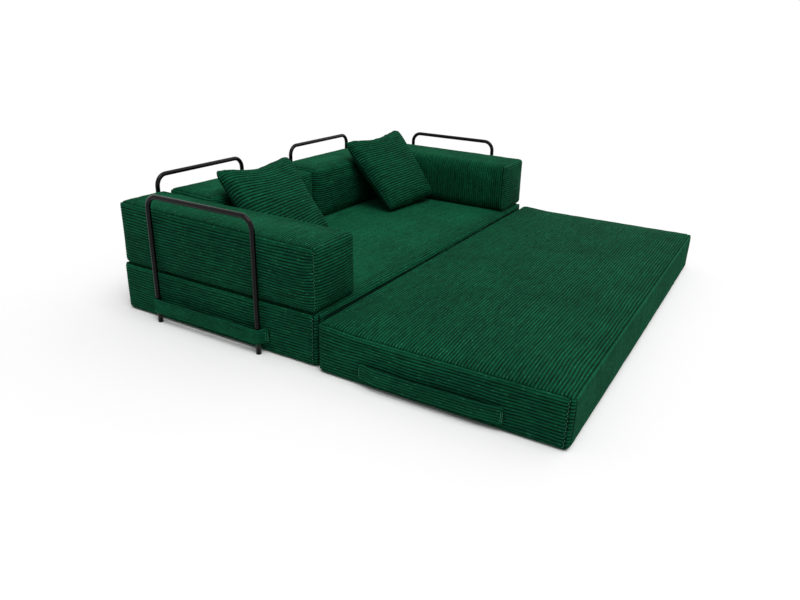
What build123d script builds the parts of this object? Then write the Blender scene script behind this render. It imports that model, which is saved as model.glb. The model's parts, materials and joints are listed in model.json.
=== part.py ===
# Fold-out sofa bed: a base mattress and an extension mattress joined by a fabric hinge,
# four loose bolsters, two scatter pillows and four bent-tube rails held in sewn straps.
#
# The frame is +X to the right-hand arm, +Y to the back and +Z up, in millimetres.
# The origin is on the floor, in the middle of the whole object's plan.

import os
from math import atan, cos, degrees, radians, sin

from build123d import *

os.makedirs("parts", exist_ok=True)

# Mattresses
base_width = 2000
base_depth = 1012
base_height = 211
base_crown = 8
extension_depth = 932
extension_height = 197
extension_crown = 12
extension_overhang = 20
fold_gap = 26

# Bolsters
arm_width = 257
back_bolster_depth = 277
bolster_height = 257
bolster_crown = 8
arm_setback = 5

# What all box cushions share
side_bulge = 6
end_draw = 5
edge_radius = 15
corner_radius = 20
flat_cut = 0.5
cover_thickness = 4
core_chamfer = 14
core_gap = 0.3

# Pillows
pillow_size = 430
pillow_rise = 72
pillow_pull = 14
pillow_seam = 2
pillow_shoulder_share = 0.75
pillow_fullness_share = 0.62
pillow_roll = 5
left_pillow_inset = 534
left_pillow_lean = 41
left_pillow_turn = 6
right_pillow_inset = 481
right_pillow_lean = 39
right_pillow_turn = 11

# Rails
rail_height = 546
rail_spacing = 533
rail_bend_radius = 50
tube_diameter = 20
tube_wall = 1.5
rail_bend_steps = 4
rail_stand_off = 4
left_rail_place = 519
right_rail_place = 480
back_left_rail_place = 512
back_right_rail_place = 570
foot_height = 4
foot_plug_length = 26
foot_rim = 0.2
foot_rib = 2.4
foot_gap = 0.2

# Straps
strap_width = 62
strap_thickness = 4
strap_height = 31
strap_gap = 0.4
strap_tab = 24
strap_slope = 4
strap_bend = 5
handle_place = 476
handle_height = 22
handle_length = 544
handle_bow = 30
handle_front_bow = 12
handle_rise = 40
handle_fall = 70
handle_bend = 30

# Fold strip
strip_thickness = 2
strip_width = 1900
strip_drop = 9
strip_half = 10.5
strip_shift = 1.05
strip_sag = 6

# Clearances
seat_gap = 0.3
overrun = 10

# How the cushions' roundings and crowns are divided
round_steps = 2
station_shares = (0.24, 0.5, 0.76)
end_full_share = 0.3
core_size_share = 0.78
core_rise_share = 0.6
core_slope_share = 0.2
core_rim = 6
seat_tries = 6
pillow_rounds = 3

# Places worked out from the sizes above
tube_radius = tube_diameter / 2
rail_offset = side_bulge + rail_stand_off + tube_radius
front_reach = fold_gap + extension_depth + side_bulge
back_reach = base_depth + rail_offset + tube_radius + strap_gap + strap_thickness
hinge_y = (front_reach - back_reach) / 2
base_y = hinge_y + base_depth / 2
base_back = hinge_y + base_depth
extension_width = base_width + 2 * extension_overhang
extension_y = hinge_y - fold_gap - extension_depth / 2
bolster_floor = base_height + seat_gap
arm_length = base_depth - arm_setback
arm_x = (base_width - arm_width) / 2
arm_y = base_back - arm_length / 2
seat_half_width = base_width / 2 - arm_width
back_length = seat_half_width - side_bulge - seat_gap - seat_gap / 2
back_x = seat_gap / 2 + back_length / 2
back_y = base_back - back_bolster_depth / 2
back_front = back_y - back_bolster_depth / 2
left, back, up = Vector(-1, 0, 0), Vector(0, 1, 0), Vector(0, 0, 1)


def box_cushion(along, middle_x, middle_y, floor, length, width, height, crown):
    """A box cushion, lofted end to end: flat below, crowned above, fullest half-way."""
    middle = Vector(middle_x, middle_y, floor - flat_cut)
    rounding = [radians(90) * step / round_steps for step in range(round_steps + 1)]
    ends = [(edge_radius * (1 - cos(a)), edge_radius * (1 - sin(a))) for a in rounding]
    stations = ends + [(length * share, 0) for share in station_shares]
    stations += [(length - place, inset) for place, inset in reversed(ends)]
    sections = []
    for place, inset in stations:
        fullness = 1 - (1 - end_full_share) * (2 * place / length - 1) ** 2
        drawn = inset + end_draw * (1 - fullness)
        half = width / 2 - drawn
        top = height + flat_cut - drawn
        bulge = side_bulge * fullness
        rise = crown * fullness
        across = Vector(0, 0, 1).cross(along)
        centre = middle + along * (place - length / 2)
        with BuildSketch(Plane(origin=centre, x_dir=across, z_dir=along)) as section:
            with BuildLine():
                Line((-half, inset), (half, inset))
                ThreePointArc((half, inset), (half + bulge, (inset + top) / 2), (half, top))
                ThreePointArc((half, top), (0, top + rise), (-half, top))
                ThreePointArc((-half, top), (-half - bulge, (inset + top) / 2), (-half, inset))
            make_face()
            corners = section.vertices().group_by(Axis.Y)
            chamfer(corners[0], corner_radius / 2)
            fillet(corners[-1], corner_radius)
        sections.append(section.sketch)
    loft(sections, ruled=True)
    split(bisect_by=Plane.XY.offset(floor), keep=Keep.TOP)


def core_block(middle_x, middle_y, floor, size_x, size_y, height, gap, mode=Mode.ADD):
    """The foam core's block, or with no gap the space for it inside the cover."""
    inset = cover_thickness + end_draw + gap
    lift = cover_thickness + gap
    with BuildSketch(Plane.XY.offset(floor + lift)) as outline:
        with Locations((middle_x, middle_y)):
            Rectangle(size_x - 2 * inset, size_y - 2 * inset)
    block = extrude(outline.sketch, amount=height - lift - inset, mode=Mode.PRIVATE)
    add(block.chamfer(core_chamfer, None, block.edges()), mode=mode)


def pillow_form(place):
    """A pillow with a knife-edge seam drawn in between its corners, swelling to a crown."""
    half = pillow_size / 2
    slant = degrees(atan(pillow_pull / half))
    near = (half - pillow_pull) * cos(radians(slant))
    seam = pillow_seam / 2
    crown = seam + pillow_rise
    shoulder = pillow_shoulder_share * near
    fullness = seam + pillow_fullness_share * pillow_rise
    turned = place.rotated((0, 0, slant))
    with BuildSketch(Plane(origin=place.origin, x_dir=turned.y_dir, z_dir=turned.x_dir)) as profile:
        with BuildLine():
            Line((0, -crown), (0, crown))
            front = TangentArc((0, crown), (-shoulder, fullness), tangent=(-1, 0))
            TangentArc((-shoulder, fullness), (-near, seam), tangent=front % 1)
            Line((-near, seam), (-near, -seam))
            rear = TangentArc((0, -crown), (-shoulder, -fullness), tangent=(-1, 0))
            TangentArc((-shoulder, -fullness), (-near, -seam), tangent=rear % 1)
        make_face()
    vault = extrude(profile.sketch, amount=pillow_size, both=True, mode=Mode.PRIVATE)
    with BuildSketch(place.offset(-crown - overrun)) as eighth:
        Polygon((0, 0), (0, -pillow_size), (pillow_size, -pillow_size), align=None)
    piece = vault & extrude(eighth.sketch, amount=2 * (crown + overrun), mode=Mode.PRIVATE)
    side = piece + piece.mirror(Plane(origin=place.origin, z_dir=place.x_dir))
    quarters = [side.rotate(Axis(place.origin, place.z_dir), 90 * n) for n in (1, 2, 3)]
    return side + quarters


def pillow_core(place, gap):
    """The fill inside a pillow, or with no gap the space for it inside the cover."""
    size = core_size_share * pillow_size - 2 * gap
    rise = core_rise_share * pillow_rise - gap
    with BuildSketch(place.offset(-rise)) as outline:
        Rectangle(size, size)
    block = extrude(outline.sketch, amount=2 * rise, mode=Mode.PRIVATE)
    level = Plane(origin=(0, 0, 0), x_dir=place.x_dir, z_dir=place.z_dir)
    rim = block.edges().filter_by(level)
    return block.chamfer(rise - core_rim / 2, size * core_slope_share, rim)


def seated(form, place, carrier, direction):
    """Moves a place straight along a direction until the form there lies on what carries it."""
    travel = 0
    for _ in range(seat_tries):
        moved = form.moved(Location(direction * travel))
        travel += moved.distance_to(carrier) - seat_gap
    return Plane(origin=place.origin + direction * travel, x_dir=place.x_dir, z_dir=place.z_dir)


def pillow_place(x, lean, turn, bolster):
    """The middle plane of a pillow that stands on the base and leans on a back bolster."""
    facing = back.rotate(Axis.X, -lean).rotate(Axis.Z, -turn)
    across = -left.rotate(Axis.Z, -turn)
    across = across.rotate(Axis((0, 0, 0), facing), -pillow_roll)
    start = (x, back_front - pillow_size / 2, bolster_floor + pillow_size)
    place = Plane(origin=start, x_dir=across, z_dir=facing)
    for _ in range(pillow_rounds):
        place = seated(pillow_form(place), place, base_cover.part, -up)
        place = seated(pillow_form(place), place, bolster, back)
    return place


def rail_tube(place):
    """One rail: a steel tube bent into a square arch, open at both feet."""
    half = rail_spacing / 2
    top = rail_height - tube_radius
    with BuildLine(place) as path:
        FilletPolyline(
            (-half, foot_height),
            (-half, top),
            (half, top),
            (half, foot_height),
            radius=rail_bend_radius,
        )
    runs = path.wire().order_edges()
    stations = []
    for run in runs:
        steps = rail_bend_steps if run.geom_type == GeomType.CIRCLE else 1
        stations += [(run @ (n / steps), run % (n / steps)) for n in range(steps)]
    stations.append((runs[-1] @ 1, runs[-1] % 1))
    for radius, mode in ((tube_radius, Mode.ADD), (tube_radius - tube_wall, Mode.SUBTRACT)):
        rings = []
        for spot, heading in stations:
            with BuildSketch(Plane(origin=spot, x_dir=place.z_dir, z_dir=heading)) as ring:
                Circle(radius)
            rings.append(ring.sketch)
        loft(rings, ruled=True, mode=mode)


def rail_feet(place):
    """The two end plugs of a rail: a floor pad with a ribbed stem pressed up into the tube."""
    reach = 2 * (tube_radius - tube_wall - foot_gap)
    for side in (-1, 1):
        spot = place.origin + place.x_dir * (side * rail_spacing / 2)
        with BuildSketch(Plane.XY) as pad:
            with Locations((spot.X, spot.Y)):
                Circle(tube_radius + foot_rim)
        with BuildSketch(Plane.XY.offset(foot_height)) as stem:
            with Locations((spot.X, spot.Y)):
                Rectangle(reach, foot_rib)
                Rectangle(foot_rib, reach)
        extrude(pad.sketch, amount=foot_height)
        extrude(stem.sketch, amount=foot_plug_length)


def band(place, points, radii):
    """A sewn band: a bent centre line, given the strap's thickness and width."""
    with BuildSketch(place) as plan:
        with BuildLine():
            FilletPolyline(*points, radius=radii)
        trace(line_width=strap_thickness)
    return extrude(plan.sketch, amount=strap_width, mode=Mode.PRIVATE)


def rail_strap(place, reach):
    """A strap sewn down at both ends that holds a rail's two legs against the base."""
    middle = strap_thickness / 2
    run = reach + tube_radius + strap_gap + middle
    leg = rail_spacing / 2 + tube_radius + strap_gap + middle
    root = leg + strap_slope
    end = root + strap_tab
    points = [(-end, middle), (-root, middle), (-leg, run), (leg, run), (root, middle)]
    return band(place, points + [(end, middle)], strap_bend)


def back_strap(x):
    """A rail's strap on the base's rear side, laid against its bulge."""
    nominal = Plane(origin=(x, base_back + side_bulge, strap_height), x_dir=-left, z_dir=up)
    place = seated(rail_strap(nominal, rail_offset), nominal, base_cover.part, -back)
    return rail_strap(place, base_back + rail_offset - place.origin.Y)


def handle_strap(place, rear):
    """The carrying handle: it stands off near its rear end and comes back to the front one."""
    middle = strap_thickness / 2
    end = rear * handle_length / 2
    root = end - rear * strap_tab
    points = [(-end, middle), (-root, middle)]
    points += [(-root + rear * handle_fall, middle + handle_front_bow)]
    points += [(root - rear * handle_rise, middle + handle_bow), (root, middle), (end, middle)]
    return band(place, points, handle_bend)


# The base mattress: its top is pressed flat where the bolsters stand on it

with BuildPart() as base_cover:
    box_cushion(-left, 0, base_y, 0, base_width, base_depth, base_height, base_crown)
    with BuildSketch(Plane.XY.offset(base_height)) as pressed:
        with Locations((0, base_y)):
            Rectangle(base_width + 2 * overrun, base_depth + 2 * (side_bulge + overrun))
        with Locations((0, back_front)):
            Rectangle(2 * seat_half_width, 2 * base_depth, align=(Align.CENTER, Align.MAX),
                      mode=Mode.SUBTRACT)
    extrude(amount=base_crown + overrun, mode=Mode.SUBTRACT)
    core_block(0, base_y, 0, base_width, base_depth, base_height, 0, Mode.SUBTRACT)
base_cover.part.label = "base_cover"
export_step(base_cover.part, "parts/base_cover.step")

with BuildPart() as base_foam:
    core_block(0, base_y, 0, base_width, base_depth, base_height, core_gap)
base_foam.part.label = "base_foam"
export_step(base_foam.part, "parts/base_foam.step")

# The extension mattress, folded out in front of the base and a little wider than it

with BuildPart() as extension_cover:
    box_cushion(-left, 0, extension_y, 0, extension_width, extension_depth, extension_height,
                extension_crown)
    core_block(0, extension_y, 0, extension_width, extension_depth, extension_height, 0,
               Mode.SUBTRACT)
extension_cover.part.label = "extension_cover"
export_step(extension_cover.part, "parts/extension_cover.step")

with BuildPart() as extension_foam:
    core_block(0, extension_y, 0, extension_width, extension_depth, extension_height, core_gap)
extension_foam.part.label = "extension_foam"
export_step(extension_foam.part, "parts/extension_foam.step")

# The arm bolsters, standing on the base's two side edges

with BuildPart() as left_arm_cover:
    box_cushion(-back, -arm_x, arm_y, bolster_floor, arm_length, arm_width, bolster_height,
                bolster_crown)
    core_block(-arm_x, arm_y, bolster_floor, arm_width, arm_length, bolster_height, 0,
               Mode.SUBTRACT)
left_arm_cover.part.label = "left_arm_cover"
export_step(left_arm_cover.part, "parts/left_arm_cover.step")

with BuildPart() as left_arm_foam:
    core_block(-arm_x, arm_y, bolster_floor, arm_width, arm_length, bolster_height, core_gap)
left_arm_foam.part.label = "left_arm_foam"
export_step(left_arm_foam.part, "parts/left_arm_foam.step")

with BuildPart() as right_arm_cover:
    box_cushion(-back, arm_x, arm_y, bolster_floor, arm_length, arm_width, bolster_height,
                bolster_crown)
    core_block(arm_x, arm_y, bolster_floor, arm_width, arm_length, bolster_height, 0,
               Mode.SUBTRACT)
right_arm_cover.part.label = "right_arm_cover"
export_step(right_arm_cover.part, "parts/right_arm_cover.step")

with BuildPart() as right_arm_foam:
    core_block(arm_x, arm_y, bolster_floor, arm_width, arm_length, bolster_height, core_gap)
right_arm_foam.part.label = "right_arm_foam"
export_step(right_arm_foam.part, "parts/right_arm_foam.step")

# The two back bolsters, standing between the arms along the base's rear edge

with BuildPart() as back_left_cover:
    box_cushion(-left, -back_x, back_y, bolster_floor, back_length, back_bolster_depth,
                bolster_height, bolster_crown)
    core_block(-back_x, back_y, bolster_floor, back_length, back_bolster_depth, bolster_height,
               0, Mode.SUBTRACT)
back_left_cover.part.label = "back_left_cover"
export_step(back_left_cover.part, "parts/back_left_cover.step")

with BuildPart() as back_left_foam:
    core_block(-back_x, back_y, bolster_floor, back_length, back_bolster_depth, bolster_height,
               core_gap)
back_left_foam.part.label = "back_left_foam"
export_step(back_left_foam.part, "parts/back_left_foam.step")

with BuildPart() as back_right_cover:
    box_cushion(-left, back_x, back_y, bolster_floor, back_length, back_bolster_depth,
                bolster_height, bolster_crown)
    core_block(back_x, back_y, bolster_floor, back_length, back_bolster_depth, bolster_height,
               0, Mode.SUBTRACT)
back_right_cover.part.label = "back_right_cover"
export_step(back_right_cover.part, "parts/back_right_cover.step")

with BuildPart() as back_right_foam:
    core_block(back_x, back_y, bolster_floor, back_length, back_bolster_depth, bolster_height,
               core_gap)
back_right_foam.part.label = "back_right_foam"
export_step(back_right_foam.part, "parts/back_right_foam.step")

# The scatter pillows: each stands on the base and leans back on its bolster

left_lying = pillow_place(left_pillow_inset - base_width / 2, left_pillow_lean, left_pillow_turn,
                          back_left_cover.part)
right_lying = pillow_place(base_width / 2 - right_pillow_inset, right_pillow_lean,
                           right_pillow_turn, back_right_cover.part)

with BuildPart() as left_pillow_cover:
    add(pillow_form(left_lying))
    add(pillow_core(left_lying, 0), mode=Mode.SUBTRACT)
left_pillow_cover.part.label = "left_pillow_cover"
export_step(left_pillow_cover.part, "parts/left_pillow_cover.step")

with BuildPart() as left_pillow_fill:
    add(pillow_core(left_lying, core_gap))
left_pillow_fill.part.label = "left_pillow_fill"
export_step(left_pillow_fill.part, "parts/left_pillow_fill.step")

with BuildPart() as right_pillow_cover:
    add(pillow_form(right_lying))
    add(pillow_core(right_lying, 0), mode=Mode.SUBTRACT)
right_pillow_cover.part.label = "right_pillow_cover"
export_step(right_pillow_cover.part, "parts/right_pillow_cover.step")

with BuildPart() as right_pillow_fill:
    add(pillow_core(right_lying, core_gap))
right_pillow_fill.part.label = "right_pillow_fill"
export_step(right_pillow_fill.part, "parts/right_pillow_fill.step")

# The rails: each stands upright beside the base, its legs on rubber end plugs

left_rail_stand = Plane(origin=(-base_width / 2 - rail_offset, hinge_y + left_rail_place, 0),
                        x_dir=back, z_dir=-left)
right_rail_stand = Plane(origin=(base_width / 2 + rail_offset, hinge_y + right_rail_place, 0),
                         x_dir=back, z_dir=-left)
back_left_rail_stand = Plane(
    origin=(-base_width / 2 + back_left_rail_place, base_back + rail_offset, 0),
    x_dir=left, z_dir=back)
back_right_rail_stand = Plane(
    origin=(base_width / 2 - back_right_rail_place, base_back + rail_offset, 0),
    x_dir=left, z_dir=back)

with BuildPart() as left_rail:
    rail_tube(left_rail_stand)
left_rail.part.label = "left_rail"
export_step(left_rail.part, "parts/left_rail.step")

with BuildPart() as left_rail_feet:
    rail_feet(left_rail_stand)
left_rail_feet.part.label = "left_rail_feet"
export_step(left_rail_feet.part, "parts/left_rail_feet.step")

with BuildPart() as right_rail:
    rail_tube(right_rail_stand)
right_rail.part.label = "right_rail"
export_step(right_rail.part, "parts/right_rail.step")

with BuildPart() as right_rail_feet:
    rail_feet(right_rail_stand)
right_rail_feet.part.label = "right_rail_feet"
export_step(right_rail_feet.part, "parts/right_rail_feet.step")

with BuildPart() as back_left_rail:
    rail_tube(back_left_rail_stand)
back_left_rail.part.label = "back_left_rail"
export_step(back_left_rail.part, "parts/back_left_rail.step")

with BuildPart() as back_left_rail_feet:
    rail_feet(back_left_rail_stand)
back_left_rail_feet.part.label = "back_left_rail_feet"
export_step(back_left_rail_feet.part, "parts/back_left_rail_feet.step")

with BuildPart() as back_right_rail:
    rail_tube(back_right_rail_stand)
back_right_rail.part.label = "back_right_rail"
export_step(back_right_rail.part, "parts/back_right_rail.step")

with BuildPart() as back_right_rail_feet:
    rail_feet(back_right_rail_stand)
back_right_rail_feet.part.label = "back_right_rail_feet"
export_step(back_right_rail_feet.part, "parts/back_right_rail_feet.step")

# The straps, sewn to the base at both ends, that hold the rails' legs

left_strap_place = Plane(origin=(-base_width / 2, hinge_y + left_rail_place, strap_height),
                         x_dir=back, z_dir=up)
right_strap_place = Plane(origin=(base_width / 2, hinge_y + right_rail_place, strap_height),
                          x_dir=-back, z_dir=up)

with BuildPart() as left_rail_strap:
    add(rail_strap(left_strap_place, rail_offset))
left_rail_strap.part.label = "left_rail_strap"
export_step(left_rail_strap.part, "parts/left_rail_strap.step")

with BuildPart() as right_rail_strap:
    add(rail_strap(right_strap_place, rail_offset))
right_rail_strap.part.label = "right_rail_strap"
export_step(right_rail_strap.part, "parts/right_rail_strap.step")

with BuildPart() as back_left_rail_strap:
    add(back_strap(-base_width / 2 + back_left_rail_place))
back_left_rail_strap.part.label = "back_left_rail_strap"
export_step(back_left_rail_strap.part, "parts/back_left_rail_strap.step")

with BuildPart() as back_right_rail_strap:
    add(back_strap(base_width / 2 - back_right_rail_place))
back_right_rail_strap.part.label = "back_right_rail_strap"
export_step(back_right_rail_strap.part, "parts/back_right_rail_strap.step")

# The carrying handles on the extension's two ends

with BuildPart() as left_handle:
    add(handle_strap(Plane(origin=(-extension_width / 2, hinge_y - handle_place, handle_height),
                           x_dir=back, z_dir=up), 1))
left_handle.part.label = "left_handle"
export_step(left_handle.part, "parts/left_handle.step")

with BuildPart() as right_handle:
    add(handle_strap(Plane(origin=(extension_width / 2, hinge_y - handle_place, handle_height),
                           x_dir=-back, z_dir=up), -1))
right_handle.part.label = "right_handle"
export_step(right_handle.part, "parts/right_handle.step")

# The strip of cover fabric that joins the two mattresses along the fold

with BuildPart() as fold_strip:
    with BuildSketch(Plane.YZ) as strip_section:
        with BuildLine():
            ThreePointArc((-strip_half, 0), (0, -strip_sag), (strip_half, 0))
        trace(line_width=strip_thickness)
    sling = extrude(strip_section.sketch, amount=strip_width / 2, both=True, mode=Mode.PRIVATE)
    strip_y = hinge_y - fold_gap / 2 - strip_shift
    add(sling.moved(Location((0, strip_y, extension_height - strip_drop))))
fold_strip.part.label = "fold_strip"
export_step(fold_strip.part, "parts/fold_strip.step")
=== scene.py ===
# %% [markdown]
# # A sofa bed in wide-wale corduroy, folded out
# This lesson dresses a finished CAD part. The part gives every piece its place and its size in metres. The
# lesson adds what the sewing room, the upholsterer and the metal worker would: crowned cushions of ribbed
# cloth with their seams, soft pillows, sewn straps and a black coating. The CAD pieces are loaded first and
# never moved.

import json
import math

import bmesh
import bpy
import numpy as np
from mathutils import Matrix, Quaternion, Vector

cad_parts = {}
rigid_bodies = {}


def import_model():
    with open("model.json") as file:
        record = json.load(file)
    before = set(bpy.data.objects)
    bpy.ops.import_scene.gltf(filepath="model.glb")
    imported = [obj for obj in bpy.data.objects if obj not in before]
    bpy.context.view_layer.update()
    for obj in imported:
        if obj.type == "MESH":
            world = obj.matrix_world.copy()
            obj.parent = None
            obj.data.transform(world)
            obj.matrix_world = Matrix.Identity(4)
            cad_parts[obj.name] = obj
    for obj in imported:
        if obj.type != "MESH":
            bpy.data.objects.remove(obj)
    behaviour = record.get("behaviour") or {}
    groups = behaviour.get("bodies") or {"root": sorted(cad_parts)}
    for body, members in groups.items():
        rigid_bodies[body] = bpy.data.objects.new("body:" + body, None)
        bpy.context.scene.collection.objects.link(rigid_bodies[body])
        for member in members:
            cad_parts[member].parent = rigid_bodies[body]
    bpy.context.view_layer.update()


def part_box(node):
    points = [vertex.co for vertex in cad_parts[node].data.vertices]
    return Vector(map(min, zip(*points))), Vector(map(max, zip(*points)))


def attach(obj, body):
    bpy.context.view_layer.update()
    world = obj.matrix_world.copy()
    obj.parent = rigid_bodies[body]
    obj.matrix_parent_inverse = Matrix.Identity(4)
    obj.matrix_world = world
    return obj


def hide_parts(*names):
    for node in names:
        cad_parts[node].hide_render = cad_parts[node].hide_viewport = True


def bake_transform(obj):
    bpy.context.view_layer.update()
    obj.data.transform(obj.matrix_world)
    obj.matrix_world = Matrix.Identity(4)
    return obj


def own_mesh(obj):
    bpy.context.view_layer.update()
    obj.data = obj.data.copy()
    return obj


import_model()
scene = bpy.context.scene

# %% [markdown]
# ## The camera
# The photograph was taken from the front left, well above the rails. A camera is a point, three angles and a
# focal length, here in pixels, because that is how it was solved from the picture. The camera looks along its
# own -Z, so the turn that brings -Z onto the line of sight is asked for first, and the slight tilt of the
# picture is a last turn about that same line.

# %% Set the camera
camera_place = Vector((-2.7836, -1.4132, 1.2047))
camera_turn, camera_dip, camera_tilt = (math.radians(a) for a in (-60.177, 22.442, 1.731))
focal_pixels, picture_pixels, sensor_width = 686.17, 800, 36
backward = Vector((math.sin(camera_turn) * math.cos(camera_dip),
                   -math.cos(camera_turn) * math.cos(camera_dip), math.sin(camera_dip)))
camera = bpy.data.objects.new("camera", bpy.data.cameras.new("camera"))
scene.collection.objects.link(camera)
camera.data.sensor_width = sensor_width
camera.data.lens = focal_pixels * sensor_width / picture_pixels
level = (-backward).to_track_quat("-Z", "Y")
camera.matrix_world = Matrix.LocRotScale(camera_place, level @ Quaternion((0, 0, 1), camera_tilt), None)
scene.camera = camera
print("lens", round(camera.data.lens, 2), "mm")

# %% [markdown]
# ## Shader arithmetic
# A material is a graph of nodes. Written out by hand it hides the idea, so two small classes let it be
# written as sums. A Wire is one output of a node: adding or multiplying Wires adds the Math node that does
# it. A Finish is the material itself: node makes any kind of node, settings first, and the methods below it
# make the few kinds that are used most.


# %% Helpers for materials
class Wire:
    """One output socket of a material's node, with arithmetic on its value."""

    def __init__(self, finish, socket):
        self.finish, self.socket = finish, socket

    def maths(self, operation, first, second):
        return self.finish.node("ShaderNodeMath", {"operation": operation}, {0: first, 1: second})

    def __add__(self, other):
        return self.maths("ADD", self, other)

    def __mul__(self, other):
        return self.maths("MULTIPLY", self, other)

    def __sub__(self, other):
        return self.maths("SUBTRACT", self, other)

    def __rsub__(self, other):
        return self.maths("SUBTRACT", other, self)

    __radd__, __rmul__ = __add__, __mul__


class Finish:
    """A material in the making. Its shader takes numbers at once and Wires for what varies."""

    def __init__(self, name, values, world=None):
        self.material = world or bpy.data.materials.new(name)
        self.material.use_nodes = True
        self.tree = self.material.node_tree
        self.shader = self.tree.nodes["Background" if world else "Principled BSDF"]
        self.set(self.shader, values)

    def set(self, node, sockets):
        for key, value in sockets.items():
            if isinstance(value, Wire):
                self.tree.links.new(value.socket, node.inputs[key])
            else:
                node.inputs[key].default_value = value

    def node(self, kind, settings=None, sockets=None, out=0):
        made = self.tree.nodes.new(kind)
        for key, value in (settings or {}).items():
            setattr(made, key, value)
        self.set(made, sockets or {})
        return Wire(self, made.outputs[out])

    def mix(self, share, first, second):
        """A colour between two others, by a share from 0 to 1."""
        return self.node("ShaderNodeMix", {"data_type": "RGBA"}, {0: share, 6: first, 7: second}, 2)

    def place(self):
        """Where a point lies on its own object, in metres."""
        return self.node("ShaderNodeTexCoord", out="Object")

    def seen(self):
        """1 for a ray of the camera, a reflection or glass, 0 for light on its way to something."""
        camera_ray, glossy, glass = (self.node("ShaderNodeLightPath", out=kind) for kind in
                                     ("Is Camera Ray", "Is Glossy Ray", "Is Transmission Ray"))
        return camera_ray + glossy + glass

    def stretched(self, coordinates, scales):
        """Coordinates multiplied by three numbers, for a grain that is longer than it is wide."""
        return self.node("ShaderNodeVectorMath", {"operation": "MULTIPLY"}, {0: coordinates, 1: scales})

    def noise(self, coordinates, scale, detail):
        """A cloudy grey between 0 and 1, scale clouds to the metre."""
        return self.node("ShaderNodeTexNoise", None,
                         {"Vector": coordinates, "Scale": scale, "Detail": detail})

    def smooth(self, value, low, high):
        """0 below low, 1 above high, and a smooth step between them."""
        return self.node("ShaderNodeMapRange", {"interpolation_type": "SMOOTHSTEP"},
                         {"Value": value, "From Min": low, "From Max": high})

    def bump(self, height, strength, depth):
        """Relief too fine to model: where height is 1 the surface looks raised by depth metres."""
        return self.node("ShaderNodeBump", None, {"Height": height, "Strength": strength, "Distance": depth})


def colour(red, green, blue):
    """A screen colour from 0 to 255 as the linear colour that a shader takes."""
    return tuple(c / 12.92 if c <= 0.04045 else ((c + 0.055) / 1.055) ** 2.4
                 for c in (red / 255, green / 255, blue / 255)) + (1,)


print("helpers ready")

# %% [markdown]
# ## The studio
# The object stands on an even white floor. The main light is a wide one high up at the front left, so that
# the tops are bright and the shadows are soft and short. A smaller disc beside it gives the shadows a firmer
# core, and a weak wide one from the front right lifts the right-hand sides. The white floor throws light back
# up, while the inner faces, which see only green cloth, stay dark. To the camera the floor and the world look
# white by their own colour: the lamps stay at the level at which the cloth has its own green.

# %% Light the studio
scene.view_settings.view_transform = "Standard"


def broad_light(name, turn, height, spread, strength):
    """A sun seen as a disc, spread degrees wide, turn degrees to the right of the front and height up."""
    lamp = bpy.data.objects.new(name, bpy.data.lights.new(name, "SUN"))
    lamp.data.angle = math.radians(spread)
    lamp.data.energy = strength
    a, h = math.radians(turn), math.radians(height)
    toward = Vector((math.sin(a) * math.cos(h), -math.cos(a) * math.cos(h), math.sin(h)))
    lamp.rotation_mode = "QUATERNION"
    lamp.rotation_quaternion = (-toward).to_track_quat("-Z", "Y")
    scene.collection.objects.link(lamp)


broad_light("key_light", -35, 70, 50, 1.8)
broad_light("window_light", -35, 62, 14, 0.42)
broad_light("side_light", 60, 35, 60, 0.35)

scene.world = bpy.data.worlds.new("studio")
sky_level, floor_reach = 0.3, 40
floor_grey, white = (0.72, 0.72, 0.72, 1), (1, 1, 1, 1)
sky = Finish("studio", {"Color": white}, scene.world)
sky.set(sky.shader, {"Strength": sky.seen() * (1 - sky_level) + sky_level})

floor = Finish("white_floor", {"Roughness": 1, "Specular IOR Level": 0})
floor.set(floor.shader, {"Base Color": floor.mix(floor.seen(), floor_grey, white)})
floor_mesh = bpy.data.meshes.new("floor")
floor_corners = (-1, -1), (1, -1), (1, 1), (-1, 1)
floor_mesh.from_pydata([(x * floor_reach, y * floor_reach, 0) for x, y in floor_corners], [], [(0, 1, 2, 3)])
floor_mesh.materials.append(floor.material)
floor_object = bpy.data.objects.new("floor", floor_mesh)
scene.collection.objects.link(floor_object)
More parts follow.
